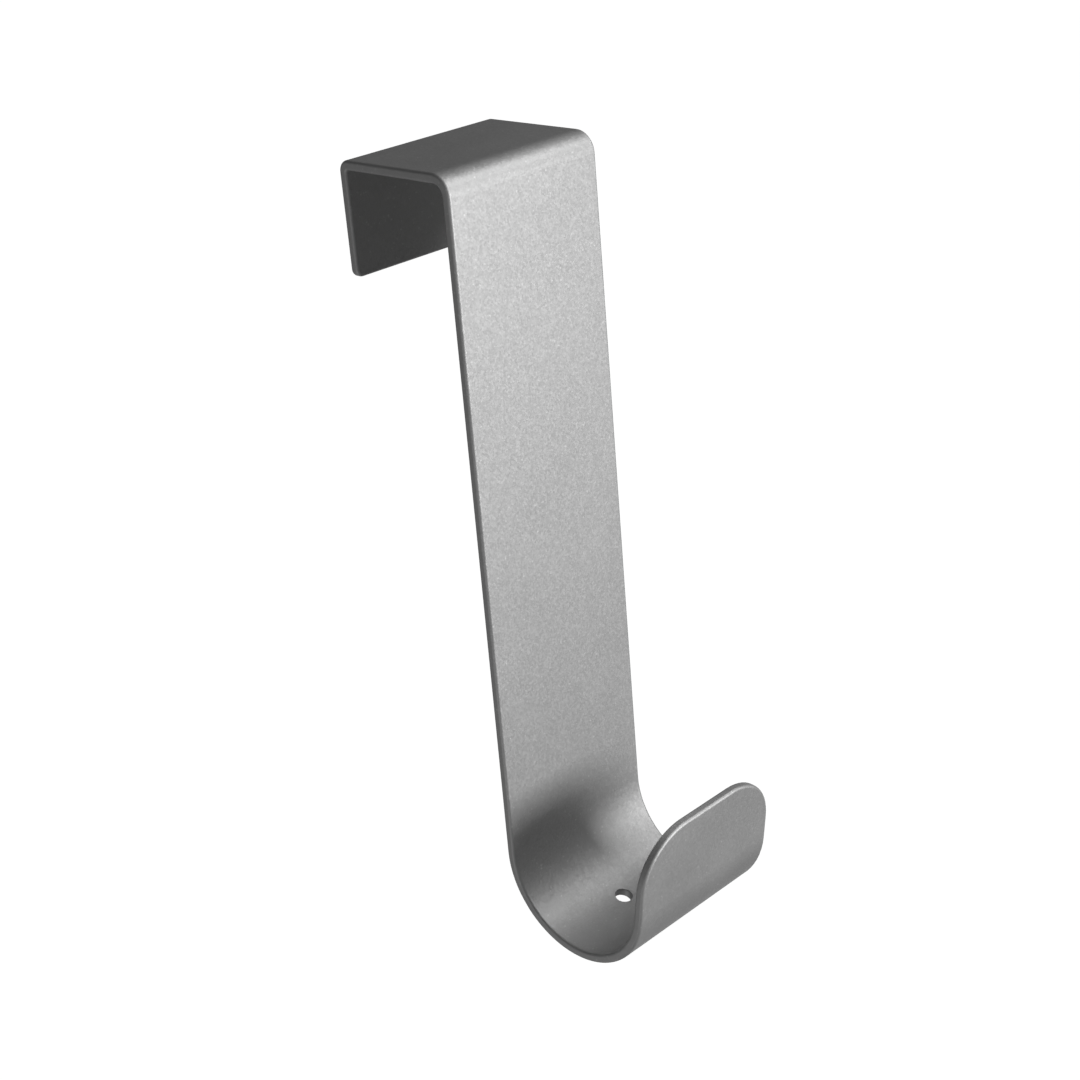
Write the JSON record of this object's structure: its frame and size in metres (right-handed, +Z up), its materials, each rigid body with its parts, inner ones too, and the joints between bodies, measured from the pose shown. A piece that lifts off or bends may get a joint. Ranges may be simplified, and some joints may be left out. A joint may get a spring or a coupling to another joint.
{
  "type": "over door hook",
  "caption": "Over door hook bent from one painted steel strip: a short rear tab and a bridge that straddle a door's top edge, a long shank, and a round cradle with an upright, flared lip.",
  "frame": {"origin": "on the bridge's underside, where the hook sits on the door: halfway across the gap between tab and shank, and halfway along the strip's width", "axes": "+Z up, along the shank; -Y towards the cradle side, away from the door's front; +Y towards the tab behind the door; X across the strip's width"},
  "size_m": [0.03, 0.0509, 0.1224],
  "materials": {
    "paint": "satin silver-grey powder coat with a fine metallic grain"
  },
  "bodies": {
    "root": {"hook_strip": "paint"}
  },
  "joints": []
}
